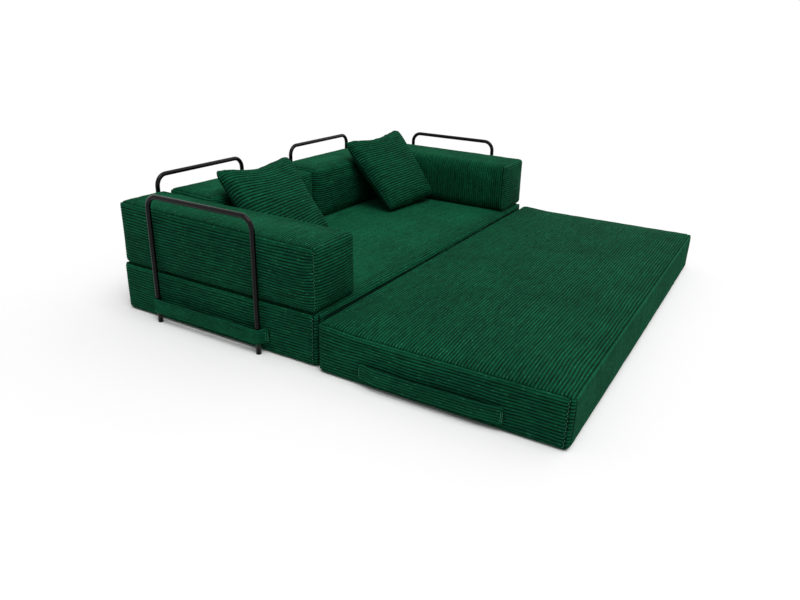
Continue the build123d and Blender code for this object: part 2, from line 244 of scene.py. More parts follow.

# %% [markdown]
# ## Corduroy
# The cloth is corduroy with very wide ribs, about 12 mm each. Corduroy is a cut pile: each rib is a soft
# brush of short fibres. It looks darkest down in the groove, where no light gets between the fibres, and it
# shines a little at the edges, where the fibres are seen from the side. The ribs themselves are modelled;
# the material adds what is finer than that: painted shade in the grooves, beside the seams and round the
# rims of the bands, the grain of the pile, small light flecks on the rib tops that are painted highlights of
# the pile's sheen, and large patches where a hand has brushed it one way or the other. The grain follows the
# ribs, so it is laid out by each point's place along and across them.

# %% Mix the corduroy
def corduroy(name, deep, middle, light, painted_highlight_colour):
    cloth = Finish(name, {"Roughness": 0.9, "Specular IOR Level": 0.06, "Sheen Weight": 0.1,
                          "Sheen Roughness": 0.4, "Sheen Tint": colour(20, 150, 95)})
    rib = cloth.node("ShaderNodeAttribute", {"attribute_name": "rib_place"}, out="Vector")
    # groove is how much painted shade a point gets: in the grooves, beside the seams and round the bands'
    # rims.
    groove = cloth.node("ShaderNodeAttribute", {"attribute_name": "groove"}, out="Fac")

    def grain(along, across, low, high):
        """Patches that follow the ribs: how many to the metre along and across, and how sharp."""
        return cloth.smooth(cloth.noise(cloth.stretched(rib, (along, across, 1)), 1.0, 1.0), low, high)

    brushed = cloth.smooth(cloth.noise(cloth.place(), 4.5, 3.0), 0.35, 0.65)
    pile = cloth.noise(cloth.stretched(rib, (260, 900, 1)), 1.0, 2.0)
    painted_highlights, worn = grain(62, 200, 0.6, 0.75), grain(14, 60, 0.45, 0.75)
    each_rib, uneven_groove_shade = grain(3, 95, 0.3, 0.7), grain(22, 45, 0.35, 0.6)
    shade = cloth.mix(brushed * 0.6, middle, light)
    shade = cloth.mix(cloth.smooth(pile, 0.3, 0.8) * 0.35, shade, deep)
    shade = cloth.mix(worn * 0.3 + each_rib * 0.22, shade, deep)
    # Painted highlights: sparse light flecks on the rib tops, away from the grooves, for the sheen of the
    # pile.
    shade = cloth.mix(painted_highlights * (1 - groove) * 0.52, shade, painted_highlight_colour)
    # Painted shade: the grooves, seams and band rims are darkened towards the deep green, a little unevenly.
    shade = cloth.mix(cloth.smooth(groove, 0.02, 0.62) * (uneven_groove_shade * 0.3 + 0.67), shade, deep)
    cloth.set(cloth.shader, {"Base Color": shade, "Normal": cloth.bump(pile, 0.35, 0.0012)})
    return cloth.material


# The deep green is also the colour of the painted shade in the grooves. The last colour is that of the
# painted highlights.
green_cord = corduroy("green_corduroy", colour(1, 20, 13), colour(13, 84, 55), colour(19, 102, 68),
                      colour(62, 150, 110))
print("material", green_cord.name)

# %% [markdown]
# ## A cushion's skin
# A box cushion starts as a lattice: lines along its three sides, close together in the rounded rims and
# wide apart on the flats, whose crossings lie on the surface of a rounded box. Every crossing has a number,
# so that a panel of cloth can later be cut out by naming the crossings that it covers. The third line from a
# side is the one where its rounding ends, and the seams near a corner run along it.

# %% Lay out the lattice
def grid_faces(n, turned=False):
    """The faces between a grid of numbered crossings, from one side or, turned over, from the other."""
    corners = [n[:-1, :-1], n[1:, :-1], n[1:, 1:], n[:-1, 1:]]
    if turned:
        corners[1], corners[3] = corners[3], corners[1]
    return np.stack(corners, -1).reshape(-1, 4)


def lattice_lines(low, high, rim, step):
    """Places of the lattice lines between two sides: three in each rim, and even steps between."""
    flat = max(0.03, 1.6 * rim)
    count = max(1, round((high - low - 2 * flat) / step))
    middle = np.linspace(low + flat, high - flat, count + 1)
    rims = [0, 0.45 * rim, rim]
    return np.concatenate([[low + r for r in rims], middle, [high - r for r in reversed(rims)]])


class Block:
    """The skin of a rounded box as numbered lattice points."""

    def __init__(self, low, high, rim, step):
        self.lines = [lattice_lines(a, b, rim, step) for a, b in zip(low, high)]
        self.low, self.high = np.array(low), np.array(high)
        grid = np.stack(np.meshgrid(*self.lines, indexing="ij"), -1)
        skin = np.zeros(grid.shape[:3], bool)
        for side in (0, -1):
            skin[side], skin[:, side], skin[:, :, side] = True, True, True
        self.ids = np.full(skin.shape, -1)
        self.ids[skin] = np.arange(skin.sum())
        spots = grid[skin]
        core = np.clip(spots, self.low + rim, self.high - rim)
        out = spots - core
        self.points = core + rim * out / np.linalg.norm(out, axis=1)[:, None]

    def faces(self):
        found = []
        for axis in range(3):
            for side in (0, -1):
                faces = grid_faces(np.take(self.ids, side, axis))
                found.append(faces[:, ::-1] if (side == 0) != (axis == 1) else faces)
        return np.concatenate(found)

    def around(self):
        """The crossings round the block at one height: from the rear left corner over the front."""
        nx, ny = self.ids.shape[:2]
        return ([(0, j) for j in range(ny - 1, 0, -1)] + [(i, 0) for i in range(nx - 1)]
                + [(nx - 1, j) for j in range(ny - 1)] + [(i, ny - 1) for i in range(nx - 1, 0, -1)])

    def band(self, first, last, rear=True, lapped=True):
        """A piece of the side band, between two places of around(), as lines from the floor up. Where it is
        lapped, it goes on over the edge to the first line of the top, where its seam is."""
        nx, ny, _ = self.ids.shape
        way, columns = self.around(), []
        for n in range(first, last + 1):
            i, j = way[n % len(way)]
            over = (min(max(i, 1), nx - 2), min(max(j, 1), ny - 2 if rear else ny - 1), -1)
            columns.append(self.ids[i, j].tolist() + [int(self.ids[over])] * lapped)
        return np.array(columns).T


print("lattice ready")

# %% [markdown]
# ## Filling a cushion
# Foam pushes the cover out between its seams, and the seams, sewn tight, hold it back and pucker it. That is
# what Blender's cloth does with a pressure inside: the points on the floor side are pinned, the seams shrink
# by a few percent, and twenty steps later the cover has its crown, its full sides and its small irregular
# waves. A cap keeps any point from moving further than the foam would let it, and the result is fitted to
# the box that the CAD piece fills.

# %% Blow up a cover
cloth_steps, fullness, seam_drop, shoulder_drop = 20, 2.5, 0.0035, 0.001


def filled(name, points, faces, pinned, tight, pressure, shrink, cap):
    """The points after the cloth has been filled."""
    mesh = bpy.data.meshes.new(name)
    mesh.from_pydata(points.tolist(), [], faces.tolist())
    body = bpy.data.objects.new(name, mesh)
    scene.collection.objects.link(body)
    body.vertex_groups.new(name="pinned").add([int(n) for n in pinned], 1.0, "REPLACE")
    body.vertex_groups.new(name="tight").add([int(n) for n in tight], 1.0, "REPLACE")
    cloth = body.modifiers.new("cloth", "CLOTH")
    cloth.point_cache.frame_start, cloth.point_cache.frame_end = 1, cloth_steps
    s = cloth.settings
    s.quality, s.mass = 6, 0.4
    s.tension_stiffness = s.compression_stiffness = 20
    s.shear_stiffness, s.bending_stiffness = 8, 1.5
    s.use_pressure, s.uniform_pressure_force = True, pressure
    s.vertex_group_mass, s.vertex_group_shrink = "pinned", "tight"
    s.shrink_min, s.shrink_max = 0.0, shrink
    s.effector_weights.gravity = 0
    for step in range(1, cloth_steps + 1):
        scene.frame_set(step)
    moved = body.evaluated_get(bpy.context.evaluated_depsgraph_get()).to_mesh()
    after = np.empty(len(points) * 3, np.float32)
    moved.vertices.foreach_get("co", after)
    shift = after.reshape(-1, 3) - points
    scene.frame_set(1)
    bpy.data.objects.remove(body)
    length = np.linalg.norm(shift, axis=1)[:, None]
    print(name, "moved up to", round(float(length.max()) * 1000, 1), "mm")
    return points + shift * np.minimum(1, cap / np.maximum(length, 1e-9))


def crowned(block, crown, bulge):
    """The block's points with a crowned top and full sides, and its floor side left flat."""
    middle, half = (block.low + block.high) / 2, (block.high - block.low) / 2
    a = (block.points - middle) / half
    room = 1 - np.abs(np.clip(a, -1, 1)) ** fullness
    points = block.points.copy()
    points[:, 2] += np.where(a[:, 2] > 0, a[:, 2] ** 3 * crown * room[:, 0] * room[:, 1], 0)
    points[:, 0] += a[:, 0] ** 3 * bulge * room[:, 1] * room[:, 2]
    points[:, 1] += a[:, 1] ** 3 * bulge * room[:, 0] * room[:, 2]
    return points


def fitted(points, low, high, shoulder):
    """The points stretched a little to the box from low to high. Only what rises over the shoulder, the
    height of the edges, is drawn down to the box's top."""
    a, b = points.min(0), points.max(0)
    moved = np.array(low) + (points - a) * (np.array(high) - low) / (b - a)
    z = points[:, 2]
    over = (z - shoulder) * min(1, (high[2] - shoulder) / (b[2] - shoulder))
    moved[:, 2] = np.where(z > shoulder, shoulder + over, np.maximum(z, low[2]))
    return moved


def sunk(points, sheet, sides):
    """The top's seams drawn down into the filling, with the cloth beside them."""
    edges = {"first": (sheet[0], sheet[1]), "last": (sheet[-1], sheet[-2]),
             "start": (sheet[:, 0], sheet[:, 1]), "end": (sheet[:, -1], sheet[:, -2])}
    for row, drop in ((0, seam_drop), (1, shoulder_drop)):
        touched = np.unique(np.concatenate([edges[side][row] for side in sides.split()]))
        points[touched, 2] -= drop
    return points


print("filling ready")

# %% [markdown]
# ## From points to a piece
# Every piece from here on ends as a closed mesh: its points and faces, with the faces turned outward, and one
# material. For cloth two more values go with each point: how deep it lies in a groove, and its place along
# and across the ribs. A thin strip of cloth is two grids of points, back to back, with a rim between them.

# %% Helpers for meshes
def shaped(name, spots, faces, material, grooves=None, rib_places=None):
    """A smooth object from points and faces, which the caller lets ride on its body."""
    mesh = bpy.data.meshes.new(name)
    mesh.from_pydata(spots.tolist(), [], faces)
    shell = bmesh.new()
    shell.from_mesh(mesh)
    bmesh.ops.recalc_face_normals(shell, faces=shell.faces)
    shell.to_mesh(mesh)
    shell.free()
    if grooves is not None:
        mesh.attributes.new("groove", "FLOAT", "POINT").data.foreach_set(
            "value", grooves.astype(np.float32))
        mesh.attributes.new("rib_place", "FLOAT_VECTOR", "POINT").data.foreach_set(
            "vector", rib_places.astype(np.float32).ravel())
    mesh.shade_smooth()
    mesh.materials.append(material)
    piece = bpy.data.objects.new(name, mesh)
    scene.collection.objects.link(piece)
    print(name, len(mesh.vertices), "vertices", len(mesh.polygons), "faces")
    return piece


def two_sided(front, back):
    """Points and faces of a thin closed strip, from the grids of points on its two sides."""
    numbers = np.arange(2 * front.shape[0] * front.shape[1]).reshape(2, *front.shape[:2])
    faces, rims = [], []
    for n in numbers:
        faces += grid_faces(n, turned=True).tolist()
        rims.append(np.concatenate([n[0], n[1:, -1], n[-1, -2::-1], n[-2:0:-1, 0]]))
    faces += np.stack([rims[0], np.roll(rims[0], -1), np.roll(rims[1], -1), rims[1]], -1).tolist()
    return np.concatenate([front.reshape(-1, 3), back.reshape(-1, 3)]), faces


def unit_vectors(v):
    return v / np.maximum(np.linalg.norm(v, axis=-1), 1e-9)[..., None]


def lengths_along(line):
    """How far along a bent line each of its points lies."""
    return np.concatenate([[0], np.cumsum(np.linalg.norm(np.diff(line, axis=0), axis=1))])


print("mesh helpers ready")

# %% [markdown]
# ## The lines of a panel
# The lattice is coarse, and a rib is 12 mm. So each panel is laid on the filled skin again, with lines close
# together across the ribs and far apart along them, which shows round ribs with few faces. Between the
# lattice's crossings the cloth follows a smooth curve. Where two panels meet, their lines don't, so the two
# rows of points are zipped together with triangles.

# %% Lay out a panel
rib_pitch, rib_depth, groove_power = 0.0117, 0.0025, 2.0
rib_shares = np.array([0, 0.12, 0.28, 0.5, 0.72, 0.88])
edge_inset, edge_step, plain_step = 0.0012, 0.007, 0.03
near_seam, even_from = (0.003, 0.0055, 0.0085, 0.012, 0.017), 0.02
narrow_panel, narrow_step = 0.05, 0.006


def curve_shares(coarse, fine):
    """How much each coarse line counts at each fine place, along a smooth curve through them."""
    near = np.clip(np.searchsorted(coarse, fine, side="right") - 1, 0, len(coarse) - 2)
    gap = (coarse[near + 1] - coarse[near])[:, None]
    t = (fine - coarse[near])[:, None] / gap
    unit = np.eye(len(coarse))
    slope = np.gradient(unit, coarse, axis=0)
    return ((2 * t ** 3 - 3 * t ** 2 + 1) * unit[near] + (t ** 3 - 2 * t ** 2 + t) * gap * slope[near]
            + (3 * t ** 2 - 2 * t ** 3) * unit[near + 1] + (t ** 3 - t ** 2) * gap * slope[near + 1])


def lines_across(length, ribbed, pitch):
    """Places across the ribs: several to a rib, or a few where the cloth shows no ribs."""
    if not ribbed:
        return lines_along(length, plain_step)
    inset = min(edge_inset, length / 4)
    count = max(1, round(length / pitch))
    places = ((np.arange(count)[:, None] + rib_shares) * length / count).ravel()
    places = places[(places > 2 * inset) & (places < length - 2 * inset)]
    return np.concatenate([[inset], places, [length - inset]])


def lines_along(length, step):
    """Places along the ribs, closer together at the two seams."""
    inset = min(edge_inset, length / 4)
    if length < narrow_panel:
        return np.linspace(inset, length - inset, max(2, round(length / narrow_step)))
    near = np.array([inset, *near_seam])
    count = max(1, round((length - 2 * even_from) / step))
    even = np.linspace(even_from, length - even_from, count + 1)
    return np.concatenate([near, even, length - near[::-1]])


def zipped(inner, inner_at, outer, outer_at):
    """Triangles between two rows of vertices: the row that lags moves on first."""
    found, i, j = [], 0, 0
    while i < len(inner) - 1 or j < len(outer) - 1:
        if j == len(outer) - 1 or (i < len(inner) - 1 and inner_at[i + 1] <= outer_at[j + 1]):
            found.append((inner[i], outer[j], inner[i + 1]))
            i += 1
        else:
            found.append((inner[i], outer[j], outer[j + 1]))
            j += 1
    return found


print("panel lines ready")

# %% [markdown]
# ## A cover and its seams
# A cover is sewn over the filled skin, panel by panel. A panel's edge is a seam. Its points are made once and
# shared with the panel beyond, so that the cover ends up closed, without a gap or a doubled edge. No seam is
# quite straight or even, so each gets an irregular wave of its own.

# %% Start a cover
class Cover:
    """A cover sewn from panels of ribbed cloth over a skin of lattice points."""

    def __init__(self, points, faces, seed, pitch=rib_pitch, pucker=0.0009, seam_wave=0.0005):
        self.points, self.pitch, self.pucker, self.seam_wave = points, pitch, pucker, seam_wave
        self.outward = np.zeros_like(points)
        a, b, c, d = (points[faces[:, n]] for n in range(4))
        facing = np.cross(c - a, d - b)
        for n in range(4):
            np.add.at(self.outward, faces[:, n], facing)
        self.outward = unit_vectors(self.outward)
        self.random = np.random.default_rng(seed)
        self.spots, self.grooves, self.rib_places = [], [], []
        self.count, self.faces, self.edge_vertices, self.panels = 0, [], {}, 0

    def add(self, spots, grooves, rib_places):
        first = self.count
        self.spots.append(spots.reshape(-1, 3))
        self.grooves.append(grooves.ravel())
        self.rib_places.append(rib_places.reshape(-1, 3))
        self.count += len(self.spots[-1])
        return np.arange(first, self.count)

    def edge(self, ids, at, seam_depth):
        """The vertices along a seam, made once and shared by the panels on its two sides."""
        keys, places = [], []
        for a, b, start, end in zip(ids[:-1], ids[1:], at[:-1], at[1:]):
            if a == b:
                continue
            n = max(1, round(float(np.linalg.norm(self.points[a] - self.points[b])) / edge_step))
            for k in range(n):
                keys.append((min(a, b), max(a, b), k if a < b else n - k) if k else (a,))
                places.append(start + (end - start) * k / n)
        keys.append((ids[-1],))
        places = np.array(places + [at[-1]])
        share = curve_shares(at, places)
        drop = seam_depth + self.seam_wave * self.wobble(places, 0.026)
        spots = share @ self.points[ids] - drop[:, None] * unit_vectors(share @ self.outward[ids])
        for key, spot, place in zip(keys, spots, places):
            if key not in self.edge_vertices:
                # Each seam vertex gets a groove value of 0.7: painted shade along the seam line.
                self.edge_vertices[key] = int(self.add(spot, np.array([0.7]),
                                                       np.array([place, 0, self.panels]))[0])
        return [self.edge_vertices[key] for key in keys], places

    def wobble(self, at, step):
        """An irregular smooth wave along a seam, between -1 and 1."""
        knots = np.linspace(0, at[-1], max(3, round(at[-1] / step)))
        return curve_shares(knots, at) @ self.random.uniform(-1, 1, len(knots))

    def uneven(self, s, t, step):
        """The same over a whole panel."""
        a, b = (np.linspace(0, at[-1], max(3, round(at[-1] / step))) for at in (s, t))
        return curve_shares(a, s) @ self.random.uniform(-1, 1, (len(a), len(b))) @ curve_shares(b, t).T


print("covers can be started")

# %% [markdown]
# ## Ribbed cloth on the skin
# A panel follows the skin, and its relief is added to that: the ribs, the dip into each seam with its small
# puckers, and a wave that any cloth has. On one side of the seam along a top edge the cloth makes a smooth
# roll, which holds the seam allowance. The ribs wander a little, as nobody lays cloth out quite straight.

# %% Sew a panel
# seam_shade is how far the painted shade reaches from a seam.
seam_dip, seam_shade, bend_reach = 0.0022, 0.0026, 0.016
roll_width, roll_middle, roll_spread, roll_height = 0.0105, 0.0068, 0.0036, 0.0018
rib_wander, cloth_wave, even_reach, rubbed_reach = 0.0030, 0.0009, 0.03, 0.06
deeper_share, deeper_reach = 0.35, 0.012


def sew_panel(cover, ids, ribbed=True, rolls="", flush="", faint="", depth=rib_depth, seam_depth=0.0022,
              step=0.02, rubbed=1.0):
    """One panel: ids has a row for each lattice line across the ribs. The sides of its grid are
    called first, last (across the ribs) and start, end (along them). rolls names those with a roll,
    flush those that only touch the next panel's ribs and get no painted shade, and faint those with a
    fine, shallow seam and half the painted shade beside it.
    rubbed is how much of the ribs still stands in the middle, where use has brushed them flat."""
    ids = np.asarray(ids)
    net = cover.points[ids]
    steps = (np.linalg.norm(np.diff(net, axis=way), axis=2).mean(1 - way) for way in (0, 1))
    across, along = (np.concatenate([[0], np.cumsum(step_lengths)]) for step_lengths in steps)
    s, t = lines_across(across[-1], ribbed, cover.pitch), lines_along(along[-1], step)
    each_s, each_t = np.meshgrid(s, t, indexing="ij")
    by_s, by_t = curve_shares(across, s), curve_shares(along, t)
    spots = np.einsum("ai,ijk,bj->abk", by_s, net, by_t)
    outward = unit_vectors(np.einsum("ai,ijk,bj->abk", by_s, cover.outward[ids], by_t))
    count = max(1, round(across[-1] / cover.pitch))
    groove = np.abs(2 * ((each_s * count / across[-1]) % 1) - 1) ** groove_power * ribbed
    height = np.zeros(groove.shape)
    sides = {"first": each_s, "last": across[-1] - each_s, "start": each_t, "end": along[-1] - each_t}
    nearest = np.minimum.reduce(list(sides.values()))
    inner = np.clip(nearest / even_reach, 0, 1)
    standing = rubbed + (1 - rubbed) * np.exp(-(nearest / rubbed_reach) ** 2)
    steeper = np.ones(groove.shape)
    for side, away in sides.items():
        dip = np.exp(-(away / seam_dip) ** 2) * (0.3 if side in flush else 0.6 if side in faint else 1)
        height -= seam_depth * dip
        if side in rolls:
            groove *= np.clip((away - roll_width) / 0.003, 0, 1)
            height += roll_height * np.exp(-((away - roll_middle) / roll_spread) ** 2)
        elif side not in flush:
            steeper += deeper_share * np.exp(-away / deeper_reach)
        long_way = side in ("first", "last")
        wave = cover.wobble(t if long_way else s, 0.03)
        wave = wave[None, :] if long_way else wave[:, None]
        height += cover.pucker * wave * np.exp(-away / bend_reach) * (1 - dip)
        # Painted shade beside the seam: the cloth there is darkened, and the same value also deepens the
        # relief.
        if side not in flush:
            shade = (0.5 if side in faint else 1) * np.exp(-(away / seam_shade) ** 2)
            groove = np.maximum(groove, shade)
    height -= depth * standing * steeper * (groove if ribbed else 0.2 * groove)
    height += cloth_wave * cover.uneven(s, t, 0.07) * inner
    sideways = unit_vectors(np.gradient(spots, axis=0)) * (cover.uneven(s, t, 0.1) * inner)[..., None]
    spots = spots + height[..., None] * outward + rib_wander * ribbed * sideways
    at = np.stack([each_t, each_s, 0 * groove + cover.panels], -1)
    # What is kept of groove with each point is the painted shade that the material puts there.
    n = cover.add(spots, standing * groove, at).reshape(len(s), len(t))
    cover.faces += grid_faces(n).tolist()
    for inner_row, inner_at, side, side_at in (
            (n[0], t, ids[0], along), (n[-1], t, ids[-1], along),
            (n[:, 0], s, ids[:, 0], across), (n[:, -1], s, ids[:, -1], across)):
        outer, outer_at = cover.edge(side.tolist(), side_at, seam_depth)
        cover.faces += zipped(inner_row.tolist(), inner_at, outer, outer_at)
    cover.panels += 1


print("panels can be sewn")

# %% [markdown]
# ## Closing a cover
# When its last panel is sewn, a cover's points and faces are one closed mesh. It takes the place of its CAD
# cover and core, and rides on their body. The places along a seam are kept for the stitches.

# %% Close a cover
seam_point_gap, stitch_sink = 0.01, 0.0002


def seam_row(cover, ids):
    """Points along a seam, for stitches to lie on, and the directions off the cloth there."""
    at = lengths_along(cover.points[ids])
    share = curve_shares(at, np.linspace(0, at[-1], max(4, round(at[-1] / seam_point_gap))))
    off = unit_vectors(share @ cover.outward[ids])
    return share @ cover.points[ids] - stitch_sink * off, off


def closed(cover, name, body, nodes, pressed):
    """The finished cushion, riding on its CAD body in place of its CAD nodes. pressed moves the
    points off what the cushion rests on."""
    piece = shaped(name, pressed(np.concatenate(cover.spots)), cover.faces, green_cord,
                   np.concatenate(cover.grooves), np.concatenate(cover.rib_places))
    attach(piece, body)
    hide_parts(*nodes)
    return piece


print("covers can be closed")

# %% [markdown]
# ## Filling a box cushion
# All six box cushions start alike: a lattice in the box of the CAD cover, crowned, filled and fitted back to
# that box. The foam holds its edges, so cloth that was drawn inward goes only part of that way.

# %% Fill a box cushion
edge_rim, lattice_step, foam_give, seam_shrink = 0.020, 0.027, 0.3, 0.04


def box_of(node):
    low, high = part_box(node)
    return np.array(low), np.array(high)


def blown(name, nodes, crown, pressure, cap, bulge=0.006, rim=edge_rim, front=0, rear=0):
    """A cushion's lattice and its filled points, for the box of its CAD cover. Its sides may swell a little
    past that box, where the photograph shows two soft pieces closer together or a fuller end."""
    low, high = box_of(nodes[0])
    low, high = low - (0, front, 0), high + (0, rear, 0)
    block = Block(low + (bulge, bulge, 0), high - (bulge, bulge, crown), rim, lattice_step)
    ids = block.ids
    seams = np.concatenate([ids[0, :, -1], ids[-1, :, -1], ids[:, 0, -1], ids[:, -1, -1]])
    points = crowned(block, crown, bulge)
    underside = ids[2:-2, 2:-2, 0].ravel()
    moved = filled(name, points, block.faces(), underside, seams, pressure, seam_shrink, cap)
    shift = moved - points
    points = points + shift * np.where(shift * (points - (low + high) / 2) < 0, foam_give, 1)
    lower = block.points[:, 2] < low[2] + rim
    points[lower, 2] = np.maximum(points[lower, 2], block.points[lower, 2])
    return block, fitted(points, low, high, high[2] - crown)


print("box cushions can be filled")

# %% [markdown]
# ## The two mattresses
# Each is a slab of foam in a cover of several panels: the top with ribs from side to side, a band round the
# sides with ribs running along it, and a plain underside. The band comes up over the edge and makes a smooth
# roll there, and the ribs of the top bend down into the seam behind it, so that they end in a row of small
# teeth. On the folded-out mattress the front is a panel with upright ribs between two corner pieces.

# %% Sew the mattresses
seat_height, seat_rise, seat_half_width, seat_depth, press_width = 0.211, 0.02, 0.741, 0.692, 0.03
droop_reach, fold_reach = 0.12, 0.15
mattress_seams = {}


def mattress(name, body, nodes, seed, crown, upright_front, rubbed, droop, pressed, front=0, rear=0):
    """One mattress. droop is how much the edges of its top hang down, away from the fold."""
    block, points = blown(name, nodes, crown, 3.0, 0.012, front=front, rear=rear)
    x, y, z = points.T
    from_edge = np.minimum(block.high[0] - np.abs(x), y - block.low[1])
    points[:, 2] -= (droop * np.clip(z / block.high[2], 0, 1) ** 2
                     * np.exp(-(from_edge / droop_reach) ** 2)
                     * np.clip((block.high[1] - y) / fold_reach, 0, 1))
    ids = block.ids
    top = ids[1:-1, 1:-1, -1].T
    cover = Cover(sunk(points, top, "first last start end"), block.faces(), seed)
    sew_panel(cover, top, rubbed=rubbed)
    sew_panel(cover, ids[:, :, 0].T, ribbed=False)
    nx, ny = ids.shape[:2]
    left, right = ny - 1, ny - 1 + nx - 1
    rear_middle, whole = 2 * (ny - 1) + (nx - 1) + nx // 2, 2 * (nx - 1) + 2 * (ny - 1)
    seams = rear_middle - whole, left - 2, left + 2, right - 2, right + 2, rear_middle
    for first, last in zip(seams, seams[1:]):
        if upright_front and first == left + 2:
            sew_panel(cover, block.band(first, last).T, rolls="end", depth=0.0016)
        else:
            sew_panel(cover, block.band(first, last), rolls="last")
    mattress_seams[name] = cover, [block.band(at, at)[:, 0] for at in (left - 2, right + 2)]
    closed(cover, name, body, nodes, pressed)


def above(floor_height):
    """Keeps cloth off what it rests on."""
    return lambda spots: np.maximum(spots, (-9, -9, floor_height))


def under_bolsters(spots):
    """The base's top lies flat where the bolsters press on it."""
    x, y, z = spots.T
    seat = (np.clip((seat_half_width - np.abs(x)) / press_width, 0, 1)
            * np.clip((seat_depth - y) / press_width, 0, 1))
    return np.stack([x, y, np.clip(z, 0, seat_height + seat * seat_rise)], 1)


mattress("extension_mattress", "extension", ["extension_cover", "extension_foam"], seed=3, crown=0.012,
         upright_front=True, rubbed=0.9, droop=0.010, pressed=above(0), rear=0.004)
mattress("base_mattress", "base", ["base_cover", "base_foam"], seed=5, crown=0.008,
         upright_front=False, rubbed=0.4, droop=0, pressed=under_bolsters, front=0.004)

# %% [markdown]
# ## Stitches
# Where two panels meet at a corner of a cushion, the seam is sewn through once more from outside, with a
# thick thread that shows as a row of short slanting stitches. Each stitch is a small spindle of thread.

# %% Sew through the seams
thread_finish = Finish("green_thread", {"Specular IOR Level": 0.25})
twist = thread_finish.noise(thread_finish.place(), 900.0, 1.0)
thread_finish.set(thread_finish.shader, {
    "Base Color": thread_finish.mix(twist, colour(44, 122, 88), colour(96, 176, 138)),
    "Roughness": thread_finish.smooth(twist, 0.2, 0.8) * 0.2 + 0.55})


def stitches(name, body, rows, length=0.0052, thick=0.0008, gap=0.0085, slant=0.0012):
    """Spindles of thread along rows of points; each row comes with the directions off the cloth."""
    spots, faces = [], []
    for row, off in rows:
        at = lengths_along(row)
        share = curve_shares(at, np.arange(gap, at[-1] - gap, gap))
        run, away = unit_vectors(share @ np.gradient(row, axis=0)), unit_vectors(share @ off)
        aside = unit_vectors(np.cross(run, away))
        for n, (m, r, w, a) in enumerate(zip(share @ row, run, away, aside)):
            lean = slant * (1 if n % 2 else -1)
            r, m = r + a * lean / length, m + a * lean + w * thick * 0.4
            first = len(spots)
            for share_along, size in ((-0.5, 0.4), (-0.3, 1), (0.3, 1), (0.5, 0.4)):
                spots += [m + r * length * share_along + thick * size * (w * math.cos(b) + a * math.sin(b))
                          for b in np.linspace(0, 2 * math.pi, 5, endpoint=False)]
            faces += [tuple(first + k * 5 + b for b in (c, (c + 1) % 5, (c + 1) % 5 + 5, c + 5))
                      for k in range(3) for c in range(5)]
            faces += [tuple(first + b for b in (4, 3, 2, 1, 0)), tuple(first + 15 + b for b in range(5))]
    piece = shaped(name, np.array(spots), faces, thread_finish.material)
    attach(piece, body)
    return piece


for name, (cover, columns) in mattress_seams.items():
    stitches(name + "_stitches", "base" if "base" in name else "extension",
             [seam_row(cover, column) for column in columns])

# %% [markdown]
# ## The four bolsters
# The arms and the two halves of the back are loose blocks of foam. They aren't sewn alike. On the left arm
# the ribs of the front cap go on round the inner corner. On the right arm one panel runs up the inner face
# and over the top, with a seam round the front cap. The back's front faces have level ribs that wrap its
# ends. The arms' front ends are fuller than the CAD blocks, towards the seat and the fold.

# %% Sew the bolsters
arm_flare, arm_front, arm_pressed, arm_width = 0.020, 0.015, 0.975, 0.26
flare_start, flare_run, bolster_floor = 0.64, 0.5, 0.2113


def bolster(name, body, nodes, seed, sew, front_rise, rear_rise, left_rise):
    """One bolster. sew names the way its panels are cut; the rises are how much its top stands higher at
    the front, the rear and the rear left than the CAD block's."""
    arm = sew != "back"
    block, points = blown(name, nodes, 0.008, 2.5, 0.010, bulge=0.004, rim=0.021, front=arm_front * arm)
    x, y, z = ((points - block.low) / (block.high - block.low)).T
    points[:, 2] += z * (front_rise + (rear_rise - front_rise) * y + left_rise * y * (1 - x))
    if arm:
        inward = 1 if sew == "left" else -1
        from_outside = points[:, 0] * inward - (points[:, 0] * inward).min()
        inner_side = np.clip(from_outside / arm_width, 0, 1) ** 2
        free = np.clip((flare_start - points[:, 1]) / flare_run, 0, 1)
        points[:, 0] += inward * arm_flare * inner_side * free * free * (3 - 2 * free)
    sheet, sides = {"left": (block.ids[1:, :, -1].T, "start"),
                    "right": (block.ids[:-1, :, -1].T, "end"),
                    "back": (block.ids[1:-1, 1:, -1].T, "first start end")}[sew]
    cover = Cover(sunk(points, sheet, sides), block.faces(), seed)
    ids = block.ids
    sew_panel(cover, ids[:, :, 0].T, ribbed=False)
    corner = ids.shape[1] - 1
    far_corner = corner + ids.shape[0] - 1 + corner
    if sew == "left":
        sew_panel(cover, sheet, flush="first", rubbed=0.35)
        sew_panel(cover, np.vstack([ids[0].T, ids[1, :, -1]]), rolls="last", faint="start")
        sew_panel(cover, block.band(corner, far_corner, lapped=False), flush="last", faint="start")
        sew_panel(cover, ids[:, -1, :].T)
    elif sew == "right":
        sew_panel(cover, np.hstack([ids[0], ids[1:-1, :, -1].T]), rubbed=0.55)
        sew_panel(cover, np.vstack([ids[-1].T, ids[-2, :, -1]]), rolls="last")
        sew_panel(cover, ids[:, 0, :].T)
        sew_panel(cover, ids[:, -1, :].T)
    else:
        sew_panel(cover, sheet, rubbed=0.35)
        sew_panel(cover, block.band(0, far_corner, rear=False), rolls="last")
        sew_panel(cover, ids[:, -1, :].T)
    pieces = [closed(cover, name, body, nodes, above(bolster_floor))]
    if arm:
        front_seam = np.concatenate([ids[0, 0], ids[1:, 0, -1]]) if sew == "right" else ids[0, 0]
        pieces.append(stitches(name + "_stitches", body, [seam_row(cover, front_seam)]))
        for piece in pieces:
            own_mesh(piece)


